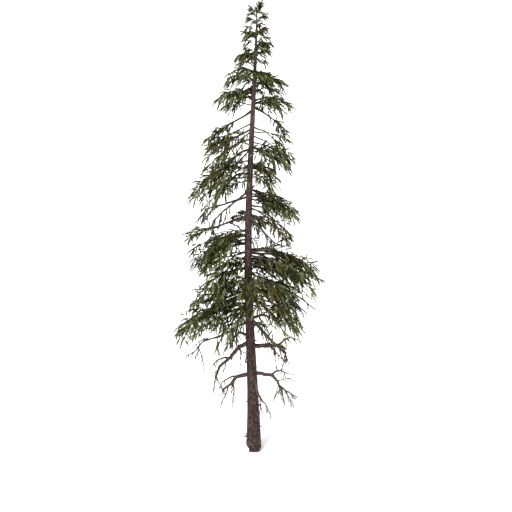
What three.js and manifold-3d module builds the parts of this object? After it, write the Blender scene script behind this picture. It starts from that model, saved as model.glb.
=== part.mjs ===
// Broken spruce tree: a bowed, tapering trunk with a chipped foot, dead lower boughs that end in bare
// twigs, and a narrow crown of drooping boughs that carry masses of needle sprays.
// Millimetres, +Z up. The origin is the middle of the flat cut at ground level, +X is the tree's right
// and -Y its front. An azimuth of 0 degrees points right, 90 to the back, 180 left and 270 to the front.
import * as THREE from 'three';
import { mergeVertices } from 'three/addons/utils/BufferGeometryUtils.js';
import Module from 'manifold-3d';

const wasm = await Module();
wasm.setup();

// Trunk
const TREE_HEIGHT = 14840;
const TRUNK_HEIGHT = 14500;
const TRUNK_RADIUS = 178; // at the ground, without the root flare
const TRUNK_TAPER = 0.62; // power of the taper: under 1 keeps the middle stout
const TRUNK_TIP_RADIUS = 7;
const TRUNK_BOW = 215; // how far the middle bows to the left
const TRUNK_BOW_POWER = 1.8;
const TRUNK_LEAN = 115; // how far the top leans to the right
const TRUNK_SWAY = { right: 12, back: 60 }; // one slow wave from foot to top
const FLARE = 104; // root flare at the ground
const FLARE_FADE = 1800; // height over which the flare fades
const ROOT_LOBES = 5;
const LOBE_DEPTH = 0.07;
const LOBE_FADE = 420;
const TRUNK_SIDES = 15;
const TRUNK_RINGS = 20;
const RING_CROWDING = 1.35; // rings stand closer together towards the ground

// Broken foot: what is split off its edges. Each chip leaves an upright face at inner, from the ground up
// to top, and a slope from there out to outer at the height outerTop.
const CHIPS = [
  { azimuth: 180, inner: 150, top: 170, outer: 420, outerTop: 410 },
  { azimuth: 0, inner: 150, top: 0, outer: 420, outerTop: 360 },
  { azimuth: 270, inner: 140, top: 0, outer: 420, outerTop: 420 },
];
const CHIP_LENGTH = 900;

// Boughs
const SAG_POWER = 2.2; // a live bough leaves at its rise and bends down to its drop by this power
const GAP = 0.3; // clearance to the piece that carries a piece
const BOUGH_RADIUS_BASE = 4;
const BOUGH_RADIUS_SHARE = 0.017; // of the reach
const BOUGH_SIDES = 6;
const BOUGH_SEGMENTS = 4;
const CROOK_SOFTNESS = 0.2; // how far a dead bough rounds its crooks: 0 is a sharp corner
const STRETCH_SEGMENTS = 2; // of a dead bough, between two crooks
const DEAD_TIP_SHARE = 0.45; // of a dead bough's radius at the trunk
const FORK_TIP_SHARE = 0.35; // of a dead fork's radius where it leaves

// Foliage
const STEM_SIDES = 4;
const STEM_SEGMENTS = 3;
const STEM_TIP_RADIUS = 5;
const TWIG_ANGLE = 42; // degrees from the bough's own heading
const TWIG_SPACING = 275; // along the bough
const TWIG_COUNT = { least: 2, most: 6 };
const TWIG_PLACE = { first: 0.4, last: 0.8 }; // where in its own stretch of the bough a twig may stand
const TWIG_LENGTH = { outer: 0.135, inner: 0.36 }; // of the leafy length
const TWIG_RADIUS = 9;
const TWIG_TIP_RADIUS = 4.5;
const TWIG_SIDES = 3;
const SPRAY_SHARE = 0.6; // of the leafy length
const SPRAY_LENGTH = { least: 340, most: 820 };
const SPRAY_OUTER_SHARE = 0.7; // length of the outermost spray, of the innermost
const SPRAY_WIDTH = 0.7; // of its length
const SPRAY_THICKNESS = 0.06; // of its length, at its core
const SPRAY_CORE = 0.07; // where it is thickest, from its root
const SPRAY_ROLL = 0.7; // radians, the most that it is rolled to either side
const SPRAY_TEETH = 2; // shoots on each edge, beside the one at the tip
const TOOTH_POINT = { along: [0.36, 0.86], wide: [1.12, 0.7] }; // from the inner tooth to the outer
const TOOTH_NOTCH = { along: [0.32, 0.72], wide: [0.72, 0.22] };
const SPRAY_REACH = 0.68; // share of the tip spray that counts in the bough's reach, as it droops
const SPRAY_SINK = 0.05; // of its length, past the axis that it grows on
const HANG = { level: 0.55, perDrop: -0.5, perRise: 1 }; // how far foliage hangs
const DROOP = { tip: 0.3, twig: 0.3, spray: 0.5 }; // shares of the hang
const VARIATION = 0.15; // of lengths and angles, to either side
const CLEARANCE = 8; // a twig or spray that would come nearer than this to another piece is skipped

// Leader: the shoot on the trunk's tip, with a spray on its end and sprays round it
const LEADER_LENGTH = 130;
const LEADER_HEADING = [0.45, 0, 1];
const LEADER_SPRAYS = { count: 4, length: 260, shrink: 0.08, first: 0.3, step: 0.18, turn: 20, climb: 0.55 };

// Twiglets of the dead boughs
const TWIGLET_COUNT = { stem: 3, fork: 2 };
const TWIGLET_LENGTH = { stem: 330, fork: 200 };
const TWIGLET_RADIUS = { stem: 16, fork: 11 };
const TWIGLET_ANGLE = 48;
const TWIGLET_FALL = 0.7;
const TWIGLET_SAG = 0.3;

// Live boughs. Height and reach in millimetres, azimuth in degrees, rise and drop as slopes of the
// bough's foot and of its whole run, bare as the share of the reach without foliage.
const LIVE_BOUGHS = [
  ['left_1', 6050, 195, 2450, -0.2, -0.5, 0.3],
  ['left_2', 5700, 215, 2150, -0.1, -0.25, 0.3],
  ['left_3', 6900, 170, 2050, 0, -0.85, 0.75],
  ['left_4', 7350, 190, 1550, -0.65, -0.6, 0.35],
  ['left_5', 8050, 195, 1650, 0.1, -0.5, 0.15],
  ['left_6', 8650, 180, 2000, -0.3, -0.3, 0.5],
  ['left_7', 9900, 165, 1650, -0.05, -0.55, 0.25],
  ['left_8', 10750, 200, 1950, -0.4, -0.75, 0.3],
  ['left_9', 11350, 195, 1500, -0.5, -0.55, 0.25],
  ['left_10', 11900, 150, 1700, -0.65, -0.65, 0.5],
  ['right_1', 5950, 325, 2050, 0.25, -0.4, 0.45],
  ['right_2', 6400, 350, 1750, 0, -0.25, 0.35],
  ['right_3', 7450, 5, 2400, 0, -0.45, 0.25],
  ['right_4', 8900, 335, 1400, -0.1, -0.75, 0.3],
  ['right_5', 9300, 355, 1550, -0.05, -0.45, 0.2],
  ['right_6', 10800, 330, 1300, 0.1, -0.35, 0.2],
  ['right_7', 11400, 335, 1250, -0.05, -0.85, 0.5],
  ['right_8', 12000, 35, 1250, -0.5, -0.85, 0.6],
  ['right_9', 9500, 40, 1700, -0.3, -0.5, 0.25],
  ['front_1', 5800, 230, 1600, -0.5, -0.7, 0.3],
  ['front_2', 6950, 285, 1650, -0.3, -0.5, 0.3],
  ['back_1', 6200, 120, 2200, -0.1, -0.4, 0.3],
  ['back_2', 7100, 60, 2050, -0.05, -0.5, 0.3],
  ['back_3', 8600, 85, 1700, -0.1, -0.5, 0.25],
  ['back_4', 10200, 70, 1400, -0.1, -0.5, 0.2],
  ['top_1', 12150, 180, 1150, 0.55, -0.1, 0.2],
  ['top_2', 12050, 345, 1200, 0.5, -0.05, 0.2],
  ['top_3', 12250, 100, 1000, 0.55, 0, 0.2],
  ['top_4', 12500, 45, 1100, 0.6, 0, 0.2],
  ['top_5', 12650, 145, 1000, 0.6, -0.05, 0.2],
  ['top_6', 12800, 320, 600, 0.75, -0.05, 0.2],
  ['top_7', 12900, 240, 700, 0.5, -0.05, 0.2],
  ['top_8', 13250, 190, 600, 1, 0.05, 0.2],
  ['top_9', 13300, 90, 600, 0.9, 0.1, 0.2],
  ['top_10', 13550, 20, 500, 1, 0.15, 0.2],
  ['top_11', 13800, 200, 450, 1.2, 0.45, 0.2],
  ['top_12', 13900, 50, 400, 1.05, 0.5, 0.2],
].map(([name, height, azimuth, reach, rise, drop, bare]) => ({
  name, height, azimuth, reach, rise, drop, bare,
}));

// The main live boughs are limbs of their own, which end where they enter their foliage.
const MAIN_BOUGHS = ['left_1', 'left_3', 'left_4', 'left_6', 'right_1', 'right_2', 'right_3'];

// Dead boughs: stretches between crooks, each as how far it goes out and up. A bough that forks ends as a
// limb after so many stretches and goes on as bare twigs. Each fork leaves after so many stretches, with
// its own azimuth and radius.
const DEAD_BOUGHS = [
  {
    name: 'left_1', height: 3050, azimuth: 183, radius: 80, limb: 0.9,
    stretches: [[520, -90], [150, -250], [330, -280]],
    forks: [
      { after: 1, azimuth: 180, radius: 38, stretches: [[150, 0], [250, -140], [100, -110]] },
      { after: 1.9, azimuth: 180, radius: 35, stretches: [[-50, -270], [50, -450]] },
      { after: 2.4, azimuth: 180, radius: 32, stretches: [[50, -250], [190, -410]] },
    ],
  },
  {
    name: 'left_2', height: 4300, azimuth: 187, radius: 80, limb: 1.8,
    stretches: [[420, -250], [270, -340], [340, -300], [140, -370]],
    forks: [
      { after: 2, azimuth: 180, radius: 38, stretches: [[160, 20], [250, -90], [150, -220]] },
      { after: 4, azimuth: 180, radius: 26, stretches: [[100, -550]] },
      { after: 4, azimuth: 180, radius: 22, stretches: [[-200, -420]] },
    ],
  },
  {
    name: 'left_3', height: 5050, azimuth: 205, radius: 40,
    stretches: [[450, -100], [500, -220], [680, -60], [400, -410]],
  },
  {
    name: 'left_4', height: 9500, azimuth: 190, radius: 36,
    stretches: [[370, -300], [380, -290], [320, -290], [80, -260]],
  },
  {
    name: 'right_1', height: 3100, azimuth: 358, radius: 70, limb: 0.9,
    stretches: [[680, -90], [170, -230], [100, -230], [590, -410]],
    forks: [
      { after: 1, azimuth: 0, radius: 42, stretches: [[130, 160], [170, 20], [230, -120]] },
      { after: 2, azimuth: 10, radius: 22, stretches: [[150, 20], [180, 30]] },
      { after: 2.6, azimuth: 350, radius: 22, stretches: [[200, -150]] },
      { after: 3.1, azimuth: 340, radius: 22, stretches: [[70, -390]] },
      { after: 3.1, azimuth: 0, radius: 21, stretches: [[-200, -220]] },
      { after: 3.2, azimuth: 0, radius: 22, stretches: [[250, -430]] },
    ],
  },
  {
    name: 'right_2', height: 4100, azimuth: 6, radius: 80, limb: 0.9,
    stretches: [[620, -20], [310, 20], [230, -180]],
    forks: [
      { after: 2, azimuth: 15, radius: 48, stretches: [[200, 180], [210, 60], [190, -100]] },
      { after: 1.7, azimuth: 350, radius: 48, stretches: [[290, -250], [70, -180], [-140, -360]] },
      { after: 1.1, azimuth: 350, radius: 42, stretches: [[150, -160], [200, -230]] },
      { after: 1.6, azimuth: 350, radius: 22, stretches: [[0, -300], [40, -410]] },
    ],
  },
  {
    name: 'right_3', height: 5150, azimuth: 340, radius: 70, limb: 1.7,
    stretches: [[260, -200], [290, -310], [290, -250], [260, -200]],
    forks: [
      { after: 1.9, azimuth: 340, radius: 29, stretches: [[100, -250], [80, -200]] },
      { after: 3, azimuth: 340, radius: 26, stretches: [[0, -300]] },
      { after: 3, azimuth: 180, radius: 21, stretches: [[350, -50], [120, -50]] },
    ],
  },
  {
    name: 'front_1', height: 2900, azimuth: 300, radius: 70,
    stretches: [[170, 0], [190, -390], [330, -160]],
  },
  {
    name: 'back_1', height: 3750, azimuth: 98, radius: 60,
    stretches: [[570, -30], [570, -540]],
  },
];

const FOLIAGE_SEED = 100; // of the first mass of foliage
const WELD_DISTANCE = 1e-3; // points of a geometry that lie this near are one
const UPRIGHT = 0.95; // a heading that rises more steeply counts as upright
const UP = new THREE.Vector3(0, 0, 1);
const RIGHT = new THREE.Vector3(1, 0, 0);
const { clamp, degToRad, lerp } = THREE.MathUtils;

const BARK = new THREE.MeshStandardMaterial({ color: '#50433d', roughness: 0.92, metalness: 0 });
const DEAD_WOOD = new THREE.MeshStandardMaterial({ color: '#5d4f49', roughness: 0.9, metalness: 0 });
const NEEDLES = new THREE.MeshStandardMaterial({ color: '#454d28', roughness: 0.7, metalness: 0 });

// A repeatable stream of numbers from 0 to 1.
function seeded(seed) {
  let state = seed >>> 0;
  return () => {
    state = (state + 0x6d2b79f5) >>> 0;
    let mixed = Math.imul(state ^ (state >>> 15), state | 1);
    mixed ^= mixed + Math.imul(mixed ^ (mixed >>> 7), mixed | 61);
    return ((mixed ^ (mixed >>> 14)) >>> 0) / 4294967296;
  };
}

// A factor a little under or over 1.
function varied(random) {
  return 1 + VARIATION * (2 * random() - 1);
}

function turned(direction, degrees) {
  return direction.clone().applyAxisAngle(UP, degToRad(degrees));
}

// A level direction across a heading, also where that is upright.
function levelAcross(heading) {
  const reference = Math.abs(heading.z) < UPRIGHT ? UP : RIGHT;
  return heading.clone().cross(reference).normalize();
}

// A closed three.js geometry as a solid.
function solidOf(geometry) {
  geometry.deleteAttribute('normal');
  geometry.deleteAttribute('uv');
  const merged = mergeVertices(geometry, WELD_DISTANCE);
  return new wasm.Manifold(new wasm.Mesh({
    numProp: 3,
    vertProperties: new Float32Array(merged.attributes.position.array),
    triVerts: new Uint32Array(merged.index.array),
  }));
}

// The largest connected body of a solid: loose scraps and sealed hollows are left behind.
function largestBody(solid) {
  return solid.decompose().reduce((best, body) => (body.volume() > best.volume() ? body : best));
}

function meshOf(name, solid, material) {
  const { vertProperties, triVerts } = solid.getMesh();
  const geometry = new THREE.BufferGeometry();
  geometry.setAttribute('position', new THREE.BufferAttribute(new Float32Array(vertProperties), 3));
  geometry.setIndex(new THREE.BufferAttribute(new Uint32Array(triVerts), 1));
  geometry.computeVertexNormals();
  const mesh = new THREE.Mesh(geometry, material);
  mesh.name = name;
  return mesh;
}

// Trunk: its axis, its radius and its solid
function trunkAxis(height) {
  const share = clamp(height / TREE_HEIGHT, 0, 1);
  const bow = TRUNK_BOW * Math.sin(Math.PI * share) ** TRUNK_BOW_POWER;
  const wave = Math.sin(2 * Math.PI * share);
  const right = TRUNK_LEAN * share - bow + TRUNK_SWAY.right * wave;
  return new THREE.Vector3(right, TRUNK_SWAY.back * wave, height);
}

function trunkRadius(height) {
  const left = Math.max(0, 1 - height / TRUNK_HEIGHT);
  return TRUNK_TIP_RADIUS + (TRUNK_RADIUS - TRUNK_TIP_RADIUS) * left ** TRUNK_TAPER
    + FLARE * Math.exp(-height / FLARE_FADE);
}

function trunkGeometry(growth) {
  const geometry = new THREE.CylinderGeometry(1, 1, 1, TRUNK_SIDES, TRUNK_RINGS);
  const position = geometry.attributes.position;
  for (let i = 0; i < position.count; i += 1) {
    const rise = position.getY(i) + 0.5;
    const height = TRUNK_HEIGHT * rise ** RING_CROWDING;
    const turn = Math.atan2(position.getX(i), position.getZ(i));
    const lobe = 1 + LOBE_DEPTH * Math.cos(ROOT_LOBES * turn) * Math.exp(-height / LOBE_FADE);
    const radius = (trunkRadius(height) * lobe + growth) * Math.hypot(position.getX(i), position.getZ(i));
    const axis = trunkAxis(height);
    position.setXYZ(i, axis.x + radius * Math.sin(turn), axis.y - radius * Math.cos(turn), height);
  }
  return geometry;
}

// A block split off the edge of the foot that faces an azimuth.
function footChip({ azimuth, inner, top, outer, outerTop }) {
  const outline = new THREE.Shape([
    new THREE.Vector2(inner, -outer),
    new THREE.Vector2(outer, -outer),
    new THREE.Vector2(outer, outerTop),
    new THREE.Vector2(inner, top),
  ]);
  const chip = new THREE.ExtrudeGeometry(outline, { depth: CHIP_LENGTH, bevelEnabled: false });
  chip.translate(0, 0, -CHIP_LENGTH / 2);
  chip.rotateX(Math.PI / 2);
  chip.rotateZ(degToRad(azimuth));
  return solidOf(chip);
}

function trunkSolid() {
  const whole = solidOf(trunkGeometry(0));
  return largestBody(CHIPS.reduce((solid, chip) => solid.subtract(footChip(chip)), whole));
}

// The line of a live bough: out from the trunk's axis, bending from its rise to its drop.
class BoughCurve extends THREE.Curve {
  constructor({ height, azimuth, reach, rise, drop }) {
    super();
    this.root = trunkAxis(height);
    this.out = turned(RIGHT, azimuth);
    Object.assign(this, { reach, rise, drop });
  }

  getPoint(share, target = new THREE.Vector3()) {
    const climb = this.rise * share + (this.drop - this.rise) * share ** SAG_POWER;
    return target.copy(this.root)
      .addScaledVector(this.out, this.reach * share)
      .addScaledVector(UP, this.reach * climb);
  }
}

// The line of a twig: straight along its heading at first, then sagging.
class TwigCurve extends THREE.Curve {
  constructor(start, heading, length, sag) {
    super();
    Object.assign(this, { start, length, sag });
    this.heading = heading.clone().normalize();
  }

  getPoint(share, target = new THREE.Vector3()) {
    return target.copy(this.start)
      .addScaledVector(this.heading, this.length * share)
      .addScaledVector(UP, -this.sag * this.length * share ** 2);
  }
}

// The line of a dead limb: from crook to crook, with an equal share of the curve for each stretch.
function crookedCurve(start, { azimuth, stretches }) {
  const out = turned(RIGHT, azimuth);
  const crooks = [start];
  for (const [away, up] of stretches) {
    crooks.push(crooks.at(-1).clone().addScaledVector(out, away).addScaledVector(UP, up));
  }
  return new THREE.CatmullRomCurve3(crooks, false, 'catmullrom', CROOK_SOFTNESS);
}

// The share of a curve that lies the gap's length past another share of it.
function pastGap(curve, share) {
  const step = 1e-4;
  return share + step * GAP / curve.getPoint(share).distanceTo(curve.getPoint(share + step));
}

// A limb along a stretch of a curve, tapering from one radius to another, pointed where that is 0.
function limbSolid(curve, from, to, radiusFrom, radiusTo, sides, segments) {
  const geometry = new THREE.CylinderGeometry(radiusTo > 0 ? 1 : 0, 1, 1, sides, segments);
  const position = geometry.attributes.position;
  const point = new THREE.Vector3();
  for (let i = 0; i < position.count; i += 1) {
    const share = position.getY(i) + 0.5;
    const along = lerp(from, to, share);
    const tangent = curve.getTangent(along);
    const sideways = levelAcross(tangent);
    const radial = new THREE.Vector3().addScaledVector(sideways, position.getX(i))
      .addScaledVector(sideways.clone().cross(tangent), position.getZ(i)).normalize();
    point.copy(curve.getPoint(along)).addScaledVector(radial, lerp(radiusFrom, radiusTo, share));
    position.setXYZ(i, point.x, point.y, point.z);
  }
  return solidOf(geometry);
}

// A spray of needles: a toothed blade, thickest at its core, whose shoots fan out along its heading.
function spraySolid(root, heading, length, roll) {
  const along = heading.clone().normalize();
  const across = levelAcross(along).applyAxisAngle(along, roll);
  const normal = across.clone().cross(along);
  const edge = [];
  for (let tooth = 1; tooth <= SPRAY_TEETH; tooth += 1) {
    for (const corner of [TOOTH_POINT, TOOTH_NOTCH]) {
      const share = tooth / SPRAY_TEETH;
      edge.push([lerp(...corner.along, share), lerp(...corner.wide, share)]);
    }
  }
  const outline = [[-SPRAY_SINK, 0], ...edge, [1, 0], ...edge.map(([x, y]) => [x, -y]).reverse()];
  const pointAt = ([x, y], rise) => root.clone().addScaledVector(along, x * length)
    .addScaledVector(across, y * length * SPRAY_WIDTH / 2).addScaledVector(normal, rise);
  const thickness = length * SPRAY_THICKNESS / 2;
  const points = [
    ...outline.map((corner) => pointAt(corner, 0)),
    pointAt([SPRAY_CORE, 0], thickness),
    pointAt([SPRAY_CORE, 0], -thickness),
  ];
  const count = outline.length;
  const faces = outline.flatMap((_, i) => {
    const next = (i + 1) % count;
    return [i, next, count, next, i, count + 1];
  });
  return solidOf(new THREE.BufferGeometry().setFromPoints(points).setIndex(faces));
}

// The space that is taken already, and by which piece. Later twigs and sprays keep clear of it.
const taken = [];

function take(owner, solid) {
  taken.push({ owner, solid, box: solid.boundingBox() });
}

function boxesMeet(a, b) {
  return [0, 1, 2].every((k) => a.min[k] - CLEARANCE < b.max[k] && b.min[k] - CLEARANCE < a.max[k]);
}

function isClear(owner, solid) {
  const box = solid.boundingBox();
  return taken.every((other) => other.owner === owner || !boxesMeet(box, other.box)
    || other.solid.minGap(solid, CLEARANCE) >= CLEARANCE);
}

// Keeps a part of a piece if it is clear of every other piece, and tells whether it was kept.
function keepIfClear(owner, parts, solid) {
  const clear = isClear(owner, solid);
  if (clear) parts.push(solid);
  return clear;
}

const tree = new THREE.Group();

function place(name, solid, material) {
  take(name, solid);
  tree.add(meshOf(name, solid, material));
}

const trunk = trunkSolid();
const trunkCutter = solidOf(trunkGeometry(GAP));

// A limb that starts inside the trunk, cut back to stand just clear of it.
function cutFromTrunk(solid) {
  return largestBody(solid.subtract(trunkCutter));
}

// Live boughs
function liveRadius({ reach }, share) {
  return lerp(BOUGH_RADIUS_BASE + BOUGH_RADIUS_SHARE * reach, STEM_TIP_RADIUS, share);
}

function liveBoughSolid(bough, curve) {
  const { bare } = bough;
  return cutFromTrunk(limbSolid(curve, 0, bare, liveRadius(bough, 0), liveRadius(bough, bare),
    BOUGH_SIDES, BOUGH_SEGMENTS));
}

function leafyLength({ reach, bare }) {
  return reach * (1 - bare);
}

function sprayLength(bough) {
  return clamp(SPRAY_SHARE * leafyLength(bough), SPRAY_LENGTH.least, SPRAY_LENGTH.most);
}

// The stem of a foliage mass carries its bough on, or leaves the trunk where the bough is no limb of its own.
function foliageStem(bough, curve) {
  const stemEnd = 1 - SPRAY_REACH * sprayLength(bough) / bough.reach;
  const main = MAIN_BOUGHS.includes(bough.name);
  const start = main ? pastGap(curve, bough.bare) : 0;
  const stem = limbSolid(curve, start, stemEnd, liveRadius(bough, start), STEM_TIP_RADIUS,
    STEM_SIDES, STEM_SEGMENTS);
  return { stemEnd, solid: main ? stem : cutFromTrunk(stem) };
}

// A mass of foliage: its stem, twigs to both sides in turn, and sprays of needles on both.
function foliageSolid(owner, bough, curve, { stemEnd, solid }, seed) {
  const random = seeded(seed);
  const { bare, rise, drop } = bough;
  const leafy = leafyLength(bough);
  const longest = sprayLength(bough);
  const hang = HANG.level + HANG.perDrop * drop + HANG.perRise * Math.max(rise, 0);
  const drooping = (direction, share) => direction.clone().addScaledVector(UP, -hang * share);
  const rolled = () => SPRAY_ROLL * (2 * random() - 1);
  const parts = [solid];
  const tipHeading = drooping(curve.getTangent(stemEnd), DROOP.tip);
  keepIfClear(owner, parts, spraySolid(curve.getPoint(stemEnd), tipHeading, longest, rolled()));

  const twigCount = clamp(Math.round(leafy / TWIG_SPACING), TWIG_COUNT.least, TWIG_COUNT.most);
  for (let k = 0; k < twigCount; k += 1) {
    const run = (k + lerp(TWIG_PLACE.first, TWIG_PLACE.last, random())) / twigCount;
    const share = lerp(bare, stemEnd, run);
    const side = k % 2 === 0 ? 1 : -1;
    const inner = 1 - (share - bare) / (1 - bare);
    const length = leafy * lerp(TWIG_LENGTH.outer, TWIG_LENGTH.inner, inner) * varied(random);
    const heading = turned(curve.getTangent(share), side * TWIG_ANGLE * varied(random));
    const twig = new TwigCurve(curve.getPoint(share), drooping(heading, DROOP.twig), length, 0);
    const twigSolid = limbSolid(twig, 0, 1, TWIG_RADIUS, TWIG_TIP_RADIUS, TWIG_SIDES, 1);
    if (!keepIfClear(owner, parts, twigSolid)) continue;
    const sprayHeading = drooping(twig.heading, DROOP.spray);
    const size = longest * lerp(SPRAY_OUTER_SHARE, 1, inner);
    keepIfClear(owner, parts, spraySolid(twig.getPoint(1), sprayHeading, size, rolled()));
  }
  return largestBody(wasm.Manifold.union(parts));
}

// The leader at the very top: a short shoot on the trunk's tip with sprays all round it.
function leaderSolid(owner) {
  const heading = new THREE.Vector3(...LEADER_HEADING).normalize();
  const shoot = new TwigCurve(trunkAxis(TRUNK_HEIGHT + GAP), UP, LEADER_LENGTH, 0);
  const parts = [limbSolid(shoot, 0, 1, TRUNK_TIP_RADIUS, STEM_TIP_RADIUS, STEM_SIDES, 1)];
  const top = shoot.getPoint(1);
  keepIfClear(owner, parts, spraySolid(top, heading, (TREE_HEIGHT - top.z) / heading.z, 0));
  const { count, length, shrink, first, step, turn, climb } = LEADER_SPRAYS;
  for (let k = 0; k < count; k += 1) {
    const outward = turned(RIGHT, turn + 360 * k / count).addScaledVector(UP, climb);
    const root = shoot.getPoint(first + step * k);
    keepIfClear(owner, parts, spraySolid(root, outward, length * (1 - shrink * k), 0));
  }
  return largestBody(wasm.Manifold.union(parts));
}

// Dead boughs
function deadRadius({ radius }, share) {
  return radius * lerp(1, DEAD_TIP_SHARE, share);
}

// The share of a dead bough's line where its limb ends.
function limbShare({ limb, stretches }) {
  return (limb ?? stretches.length) / stretches.length;
}

function deadBoughSolid(bough, curve) {
  const end = limbShare(bough);
  const segments = Math.ceil(STRETCH_SEGMENTS * end * bough.stretches.length);
  return cutFromTrunk(limbSolid(curve, 0, end, deadRadius(bough, 0), deadRadius(bough, end),
    BOUGH_SIDES, segments));
}

// Pointed twiglets to both sides of a dead twig, in turn, from a share of it onwards. Kind is stem or fork.
function growTwiglets(owner, parts, curve, from, kind, random) {
  const count = TWIGLET_COUNT[kind];
  for (let k = 0; k < count; k += 1) {
    const share = lerp(from, 1, (k + random()) / count);
    const side = k % 2 === 0 ? 1 : -1;
    const heading = turned(curve.getTangent(share), side * TWIGLET_ANGLE * varied(random));
    heading.addScaledVector(UP, -TWIGLET_FALL * random());
    const length = TWIGLET_LENGTH[kind] * varied(random);
    const twiglet = new TwigCurve(curve.getPoint(share), heading, length, TWIGLET_SAG);
    keepIfClear(owner, parts, limbSolid(twiglet, 0, 1, TWIGLET_RADIUS[kind], 0, TWIG_SIDES, 1));
  }
}

// The bare twigs of a dead bough: the rest of its line, its forks, and twiglets on both.
function bareTwigSolid(owner, bough, curve, seed) {
  const random = seeded(seed);
  const { stretches, forks } = bough;
  const end = limbShare(bough);
  const start = pastGap(curve, end);
  const segments = Math.ceil(STRETCH_SEGMENTS * (1 - end) * stretches.length);
  const stem = limbSolid(curve, start, 1, deadRadius(bough, end), deadRadius(bough, 1), STEM_SIDES, segments);
  const parts = [stem];
  growTwiglets(owner, parts, curve, start, 'stem', random);
  for (const fork of forks) {
    const line = crookedCurve(curve.getPoint(fork.after / stretches.length), fork);
    const solid = limbSolid(line, 0, 1, fork.radius, FORK_TIP_SHARE * fork.radius,
      TWIG_SIDES, fork.stretches.length);
    if (!keepIfClear(owner, parts, solid)) continue;
    growTwiglets(owner, parts, line, 0, 'fork', random);
  }
  return largestBody(wasm.Manifold.union(parts));
}

// Assembly: the trunk, then every limb and stem, then the twigs and the foliage round them
place('trunk', trunk, BARK);

const deadLines = new Map();
for (const bough of DEAD_BOUGHS) {
  const curve = crookedCurve(trunkAxis(bough.height), bough);
  deadLines.set(bough, curve);
  place(`dead_bough_${bough.name}`, deadBoughSolid(bough, curve), DEAD_WOOD);
}

const liveLines = new Map();
const stems = new Map();
for (const bough of LIVE_BOUGHS) {
  const curve = new BoughCurve(bough);
  liveLines.set(bough, curve);
  if (MAIN_BOUGHS.includes(bough.name)) {
    place(`bough_${bough.name}`, liveBoughSolid(bough, curve), BARK);
  }
  const stem = foliageStem(bough, curve);
  stems.set(bough, stem);
  take(`foliage_${bough.name}`, stem.solid);
}

DEAD_BOUGHS.forEach((bough, index) => {
  if (!bough.forks) return;
  const name = `dead_twigs_${bough.name}`;
  place(name, bareTwigSolid(name, bough, deadLines.get(bough), index), DEAD_WOOD);
});

LIVE_BOUGHS.forEach((bough, index) => {
  const name = `foliage_${bough.name}`;
  const solid = foliageSolid(name, bough, liveLines.get(bough), stems.get(bough), FOLIAGE_SEED + index);
  place(name, solid, NEEDLES);
});

place('foliage_leader', leaderSolid('foliage_leader'), NEEDLES);

export default tree;
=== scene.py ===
# Broken spruce tree: bark, dead boughs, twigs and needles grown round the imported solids.
# Metres, +Z up, in the solids' own frame: the origin is the middle of the flat cut at ground level,
# +X is the tree's right and -Y its front. Azimuth 0 points right, 90 back, 180 left and 270 forward.
import math

import bpy
import numpy as np
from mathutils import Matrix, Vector


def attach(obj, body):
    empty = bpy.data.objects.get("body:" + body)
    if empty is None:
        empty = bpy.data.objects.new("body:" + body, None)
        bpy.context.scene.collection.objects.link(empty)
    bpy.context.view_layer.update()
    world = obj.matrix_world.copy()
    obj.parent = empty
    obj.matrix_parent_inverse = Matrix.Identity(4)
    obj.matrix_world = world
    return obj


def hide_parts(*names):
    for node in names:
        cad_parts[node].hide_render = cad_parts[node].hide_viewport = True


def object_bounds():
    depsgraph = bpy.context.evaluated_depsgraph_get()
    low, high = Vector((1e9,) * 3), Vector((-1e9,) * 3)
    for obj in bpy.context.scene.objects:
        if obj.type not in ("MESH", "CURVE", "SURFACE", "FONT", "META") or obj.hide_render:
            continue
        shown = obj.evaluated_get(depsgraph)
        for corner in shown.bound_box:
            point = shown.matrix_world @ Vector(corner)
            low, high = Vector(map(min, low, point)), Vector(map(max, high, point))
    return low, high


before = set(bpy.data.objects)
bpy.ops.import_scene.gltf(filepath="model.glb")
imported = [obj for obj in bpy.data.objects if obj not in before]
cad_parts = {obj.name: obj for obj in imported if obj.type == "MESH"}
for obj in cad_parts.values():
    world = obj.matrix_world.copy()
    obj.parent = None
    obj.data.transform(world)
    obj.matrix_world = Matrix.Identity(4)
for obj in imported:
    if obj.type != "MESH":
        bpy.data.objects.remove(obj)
cad_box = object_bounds()

# Camera and light
CAMERA_TARGET = (0.085, 0.0, 7.34)
CAMERA_DISTANCE = 21.9
CAMERA_ELEVATION = math.radians(22.4)
CAMERA_ANGLE = math.radians(40.0)
FLOOR_SIZE = 400.0
FLOOR_COLOR = (0.93, 0.93, 0.93)
WORLD_COLOR = (1.0, 1.0, 1.0)
WORLD_STRENGTH = 1.12
SUN_STRENGTH = 3.2
SUN_ANGLE = math.radians(20.0)
SUN_DIRECTION = (0.45, 0.55, -1.0)

# Trunk
TREE_HEIGHT = 14.84
TRUNK_HEIGHT = 14.5
TRUNK_RADIUS = 0.178
TRUNK_TAPER = 0.62
TRUNK_TIP_RADIUS = 0.007
TRUNK_BOW = 0.215
TRUNK_BOW_POWER = 1.8
TRUNK_LEAN = 0.115
TRUNK_SWAY = (0.012, 0.06)
FLARE = 0.104
FLARE_FADE = 1.8
ROOT_LOBES = 5
LOBE_DEPTH = 0.07
LOBE_FADE = 0.42
TRUNK_SIDES = 112
TRUNK_RINGS = 640
RING_CROWDING = 1.2

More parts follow.
